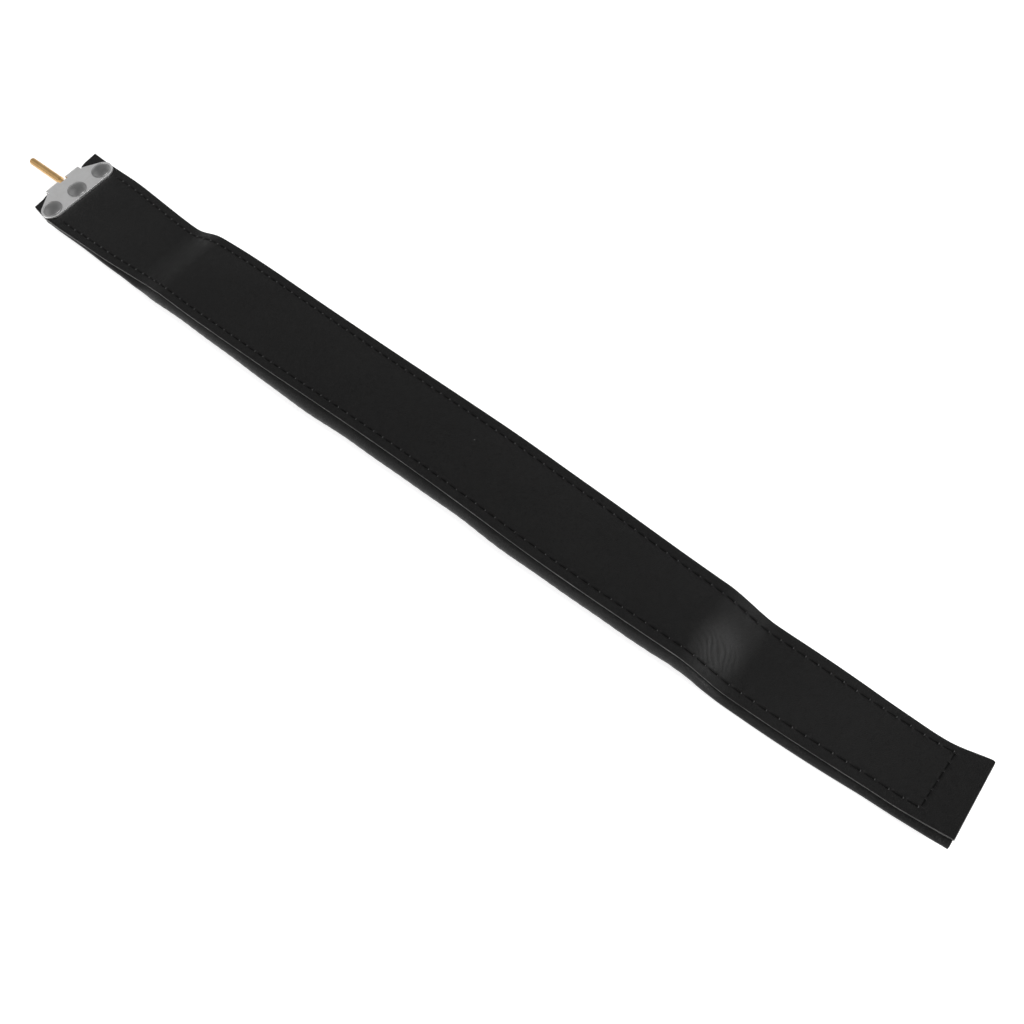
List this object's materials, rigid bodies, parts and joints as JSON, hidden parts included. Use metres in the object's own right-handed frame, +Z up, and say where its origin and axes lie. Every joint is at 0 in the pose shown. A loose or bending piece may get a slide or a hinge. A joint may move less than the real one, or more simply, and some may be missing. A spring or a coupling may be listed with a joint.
{
  "type": "accordion bass strap",
  "caption": "Flat padded leather strap with a riveted folded end plate and a swinging threaded draw rod at one end and a plain sewn tab at the other.",
  "frame": {"origin": "centre of the whole part's footprint, on the surface that the strap lies on", "axes": "+X along the strap from the rod end to the plain end, +Y across the strap, +Z up out of the face leather"},
  "size_m": [0.5326, 0.047, 0.011],
  "materials": {
    "face_leather": "black satin, fine grain, raw cut edges",
    "lining_leather": "black soft leather, turned edge",
    "core_strip": "woven tape",
    "foam": "soft open foam",
    "thread": "waxed black thread",
    "end_plate": "zinc-plated sheet, satin",
    "rivet": "dark gunmetal, semi-gloss",
    "rod": "bright turned brass"
  },
  "bodies": {
    "padded_middle": {"foam_pad": "foam", "face_leather_pad": "face_leather", "core_strip_pad": "core_strip", "lining_leather_pad": "lining_leather", "needle_thread_far_pad": "thread", "needle_thread_near_pad": "thread", "bobbin_thread_far_pad": "thread", "bobbin_thread_near_pad": "thread"},
    "plate_end": {"end_plate": "end_plate", "face_leather_plate_end": "face_leather", "core_strip_plate_end": "core_strip", "lining_leather_plate_end": "lining_leather", "needle_thread_far_plate_end": "thread", "needle_thread_near_plate_end": "thread", "bobbin_thread_far_plate_end": "thread", "bobbin_thread_near_plate_end": "thread", "rivet_cap_near": "rivet", "rivet_post_near": "rivet", "rivet_cap_middle": "rivet", "rivet_post_middle": "rivet", "rivet_cap_far": "rivet", "rivet_post_far": "rivet"},
    "plain_end": {"face_leather_plain_end": "face_leather", "core_strip_plain_end": "core_strip", "lining_leather_plain_end": "lining_leather", "needle_thread_far_plain_end": "thread", "needle_thread_near_plain_end": "thread", "bobbin_thread_far_plain_end": "thread", "bobbin_thread_near_plain_end": "thread", "needle_thread_cross_seam": "thread", "bobbin_thread_cross_seam": "thread"},
    "draw_rod": {"draw_rod": "rod", "cross_bar": "rod"}
  },
  "joints": [
    {"name": "plate_end_flex", "type": "hinge", "parent": "padded_middle", "child": "plate_end", "pos_m": [-0.1787, 0, 0.004], "axis": [0, 1, 0], "range_deg": [-60, 60], "stiffness_Nm_per_rad": 0.03},
    {"name": "plain_end_flex", "type": "hinge", "parent": "padded_middle", "child": "plain_end", "pos_m": [0.2033, 0, 0.002], "axis": [0, 1, 0], "range_deg": [-60, 60], "stiffness_Nm_per_rad": 0.03},
    {"name": "rod_swing", "type": "hinge", "parent": "plate_end", "child": "draw_rod", "pos_m": [-0.2368, 0, 0.004], "axis": [0, 1, 0], "range_deg": [-25, 25]}
  ]
}
